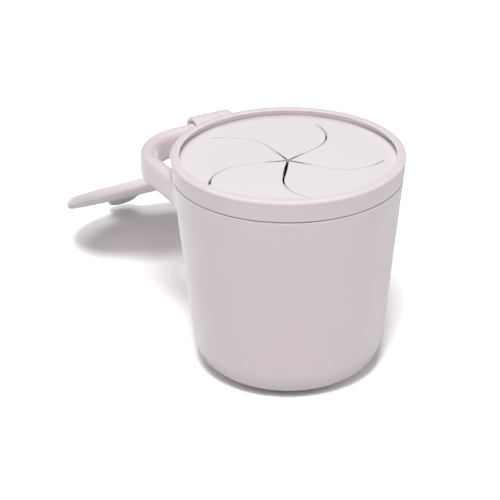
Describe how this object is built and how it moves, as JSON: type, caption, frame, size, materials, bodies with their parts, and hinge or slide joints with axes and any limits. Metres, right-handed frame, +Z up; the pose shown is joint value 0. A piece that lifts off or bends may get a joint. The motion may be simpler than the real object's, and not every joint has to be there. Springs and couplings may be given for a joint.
{
  "type": "toddler snack container",
  "caption": "Tapered snack cup with a loop handle, a collar with a slit soft membrane, and a swing-over cover hinged on the handle.",
  "frame": {"origin": "middle of the cup's flat base, on the table", "axes": "+Z up along the cup's axis, +Y from the cup to the handle and the open cover, +X to the right of the handle seen from the cup's front"},
  "size_m": [0.088, 0.1985, 0.0874],
  "materials": {
    "cup": "fine matte",
    "collar": "fine matte",
    "membrane": "soft matte silicone",
    "cover": "fine matte"
  },
  "bodies": {
    "cup": {"cup_body": "cup"},
    "lid": {"lid_collar": "collar", "flap_membrane": "membrane"},
    "flap_1": {"flap_1": "membrane"},
    "flap_2": {"flap_2": "membrane"},
    "flap_3": {"flap_3": "membrane"},
    "flap_4": {"flap_4": "membrane"},
    "flap_5": {"flap_5": "membrane"},
    "cover": {"snap_cover": "cover"}
  },
  "joints": [
    {"name": "cover_hinge", "type": "hinge", "parent": "cup", "child": "cover", "pos_m": [0, 0.0613, 0.0744], "axis": [-1, 0, 0], "range_deg": [-209, 0]},
    {"name": "lid_lift", "type": "slide", "parent": "cup", "child": "lid", "axis": [0, 0, 1], "range_m": [0, 0.03]},
    {"name": "flap_1_bend", "type": "hinge", "parent": "lid", "child": "flap_1", "pos_m": [0.028, -0.00174, 0.0823], "axis": [0.2179, -0.976, 0], "range_deg": [0, 50], "stiffness_Nm_per_rad": 0.012},
    {"name": "flap_2_bend", "type": "hinge", "parent": "lid", "child": "flap_2", "pos_m": [0.01031, 0.02609, 0.0823], "axis": [0.9955, -0.0943, 0], "range_deg": [0, 50], "stiffness_Nm_per_rad": 0.012},
    {"name": "flap_3_bend", "type": "hinge", "parent": "lid", "child": "flap_3", "pos_m": [-0.02163, 0.01786, 0.0823], "axis": [0.3974, 0.9177, 0], "range_deg": [0, 50], "stiffness_Nm_per_rad": 0.012},
    {"name": "flap_4_bend", "type": "hinge", "parent": "lid", "child": "flap_4", "pos_m": [-0.02368, -0.01505, 0.0823], "axis": [-0.75, 0.6615, 0], "range_deg": [0, 50], "stiffness_Nm_per_rad": 0.012},
    {"name": "flap_5_bend", "type": "hinge", "parent": "lid", "child": "flap_5", "pos_m": [0.007, -0.02717, 0.0823], "axis": [-0.8609, -0.5088, 0], "range_deg": [0, 50], "stiffness_Nm_per_rad": 0.012}
  ]
}
